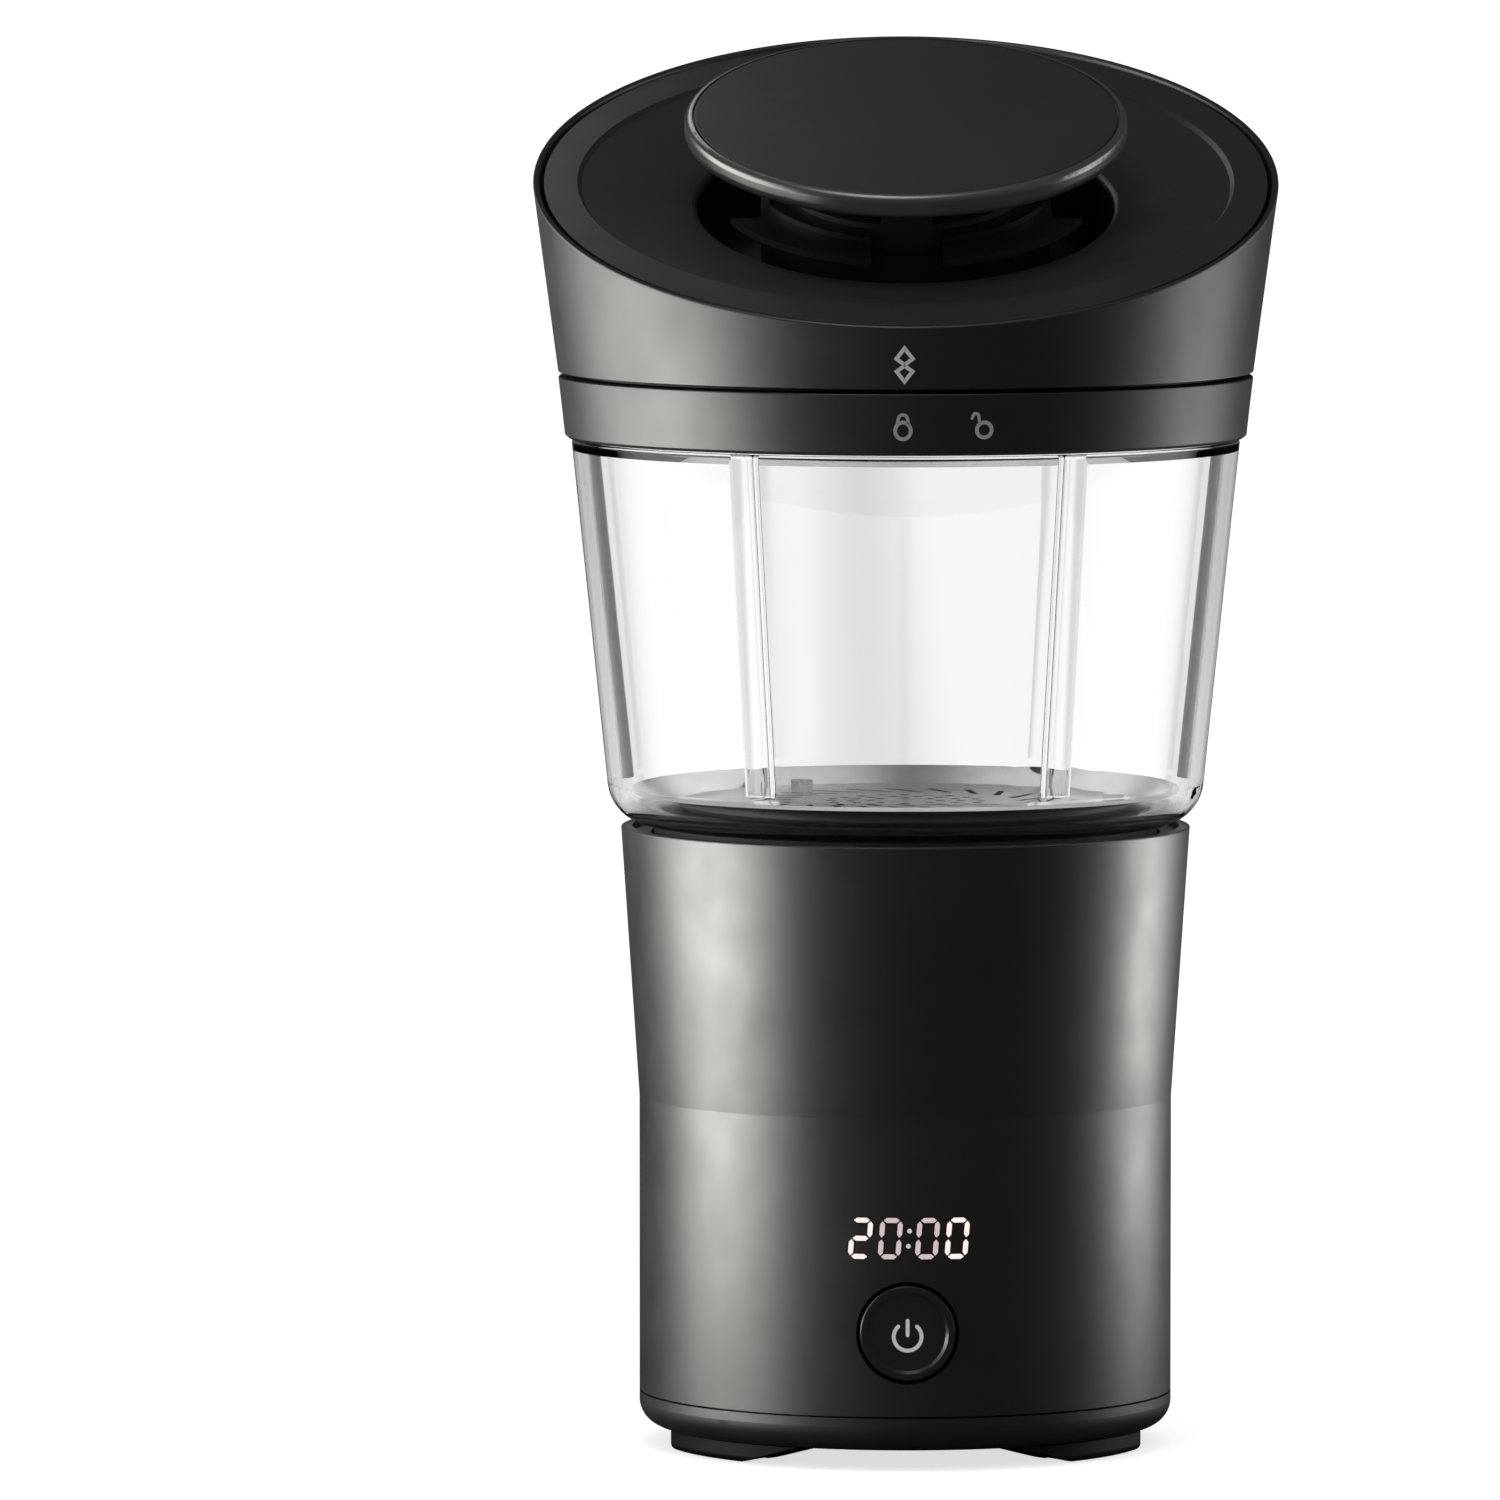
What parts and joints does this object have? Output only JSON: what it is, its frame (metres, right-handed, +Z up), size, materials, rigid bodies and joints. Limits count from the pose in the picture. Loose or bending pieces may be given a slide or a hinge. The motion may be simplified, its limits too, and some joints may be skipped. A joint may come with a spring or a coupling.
{
  "type": "home coffee bean roaster",
  "caption": "Upright hot-air coffee bean roaster with a two-tier base, clear conical jar, slanted twist-off lid, round chaff cap, display and power button.",
  "frame": {"origin": "on the base's axis, at the underside of the feet", "axes": "+Z up, -Y towards the front with the display and the power button, +X to the right seen from the front"},
  "size_m": [0.1488, 0.149, 0.2801],
  "materials": {
    "satin_black_plastic": "moulded, satin",
    "dish_plastic": "moulded, fine matt grain",
    "cap_plastic": "moulded, satin",
    "inner_plastic": "moulded, heat-resistant",
    "borosilicate_glass": "clear, pressed",
    "stainless_steel": "pressed, polished",
    "zinc_steel": "zinc plated",
    "laminated_iron": "stacked sheet",
    "ferrite": "sintered",
    "bronze": "sintered",
    "nickel_alloy_wire": "drawn wire",
    "mica": "sheet",
    "foot_rubber": "moulded, matt",
    "silicone": "moulded",
    "circuit_board": "solder mask",
    "component_plastic": "moulded",
    "button_plastic": "moulded",
    "tinned_brass": "plated"
  },
  "bodies": {
    "base": {"base_shell": "satin_black_plastic", "base_tray": "satin_black_plastic", "intake_grille": "inner_plastic", "foot_back_right": "foot_rubber", "foot_back_left": "foot_rubber", "foot_front_right": "foot_rubber", "foot_front_left": "foot_rubber", "base_screws": "zinc_steel", "jar_seat": "inner_plastic", "seat_gasket": "silicone", "air_duct": "inner_plastic", "heater_liner": "stainless_steel", "mica_plate_across": "mica", "mica_plate_deep": "mica", "heater_coil": "nickel_alloy_wire", "thermostat": "nickel_alloy_wire", "thermal_fuse": "nickel_alloy_wire", "temperature_probe": "nickel_alloy_wire", "motor_can": "zinc_steel", "motor_end_cap": "zinc_steel", "motor_bushes": "bronze", "motor_magnets": "ferrite", "motor_mount": "inner_plastic", "fan_shroud": "inner_plastic", "control_board": "circuit_board", "power_board": "circuit_board", "board_screws": "zinc_steel", "display_module": "component_plastic", "tact_switch": "component_plastic", "power_components": "component_plastic", "button_guide": "inner_plastic", "button_spring": "zinc_steel", "power_inlet": "inner_plastic", "inlet_pins": "tinned_brass"},
    "fan": {"motor_shaft": "zinc_steel", "rotor_core": "laminated_iron", "impeller": "inner_plastic", "impeller_nut": "zinc_steel"},
    "button": {"power_button": "button_plastic"},
    "jar": {"jar_glass": "borosilicate_glass", "collar": "satin_black_plastic", "collar_gasket": "silicone", "jar_foot": "inner_plastic", "pan_gasket": "silicone", "roasting_pan": "stainless_steel", "pan_screws": "zinc_steel"},
    "lid_seal": {"lid_gasket": "silicone"},
    "lid": {"lid_shell": "satin_black_plastic", "lid_dish": "dish_plastic", "lid_plug": "inner_plastic", "lid_liner": "stainless_steel", "lid_screws": "zinc_steel", "exhaust_ring": "dish_plastic"},
    "basket": {"chaff_basket": "stainless_steel", "basket_clip": "zinc_steel"},
    "cap": {"cap_disc": "cap_plastic", "cap_inlay": "cap_plastic", "cap_stem": "inner_plastic", "cap_screws": "zinc_steel"}
  },
  "joints": [
    {"name": "fan_spin", "type": "hinge", "parent": "base", "child": "fan", "pos_m": [0, 0, 0.045], "axis": [0, 0, 1], "continuous": true},
    {"name": "button_press", "type": "slide", "parent": "base", "child": "button", "axis": [0, 1, 0], "range_m": [0, 0.001], "stiffness_N_per_m": 500, "springref_m": -0.003, "deforming": ["button_spring"]},
    {"name": "jar_lift", "type": "slide", "parent": "base", "child": "jar", "axis": [0, 0, 1], "range_m": [0, 0.06]},
    {"name": "lid_lift", "type": "slide", "parent": "jar", "child": "lid_seal", "axis": [0, 0, 1], "range_m": [0, 0.06]},
    {"name": "lid_twist", "type": "hinge", "parent": "lid_seal", "child": "lid", "pos_m": [0, 0, 0.215], "axis": [0, 0, 1], "range_deg": [0, 13.2]},
    {"name": "cap_lift", "type": "slide", "parent": "lid", "child": "basket", "axis": [0, -0.3303, 0.9439], "range_m": [0, 0.035]},
    {"name": "cap_twist", "type": "hinge", "parent": "basket", "child": "cap", "pos_m": [0, 0.00353, 0.2533], "axis": [0, -0.3303, 0.9439], "range_deg": [0, 45]}
  ]
}
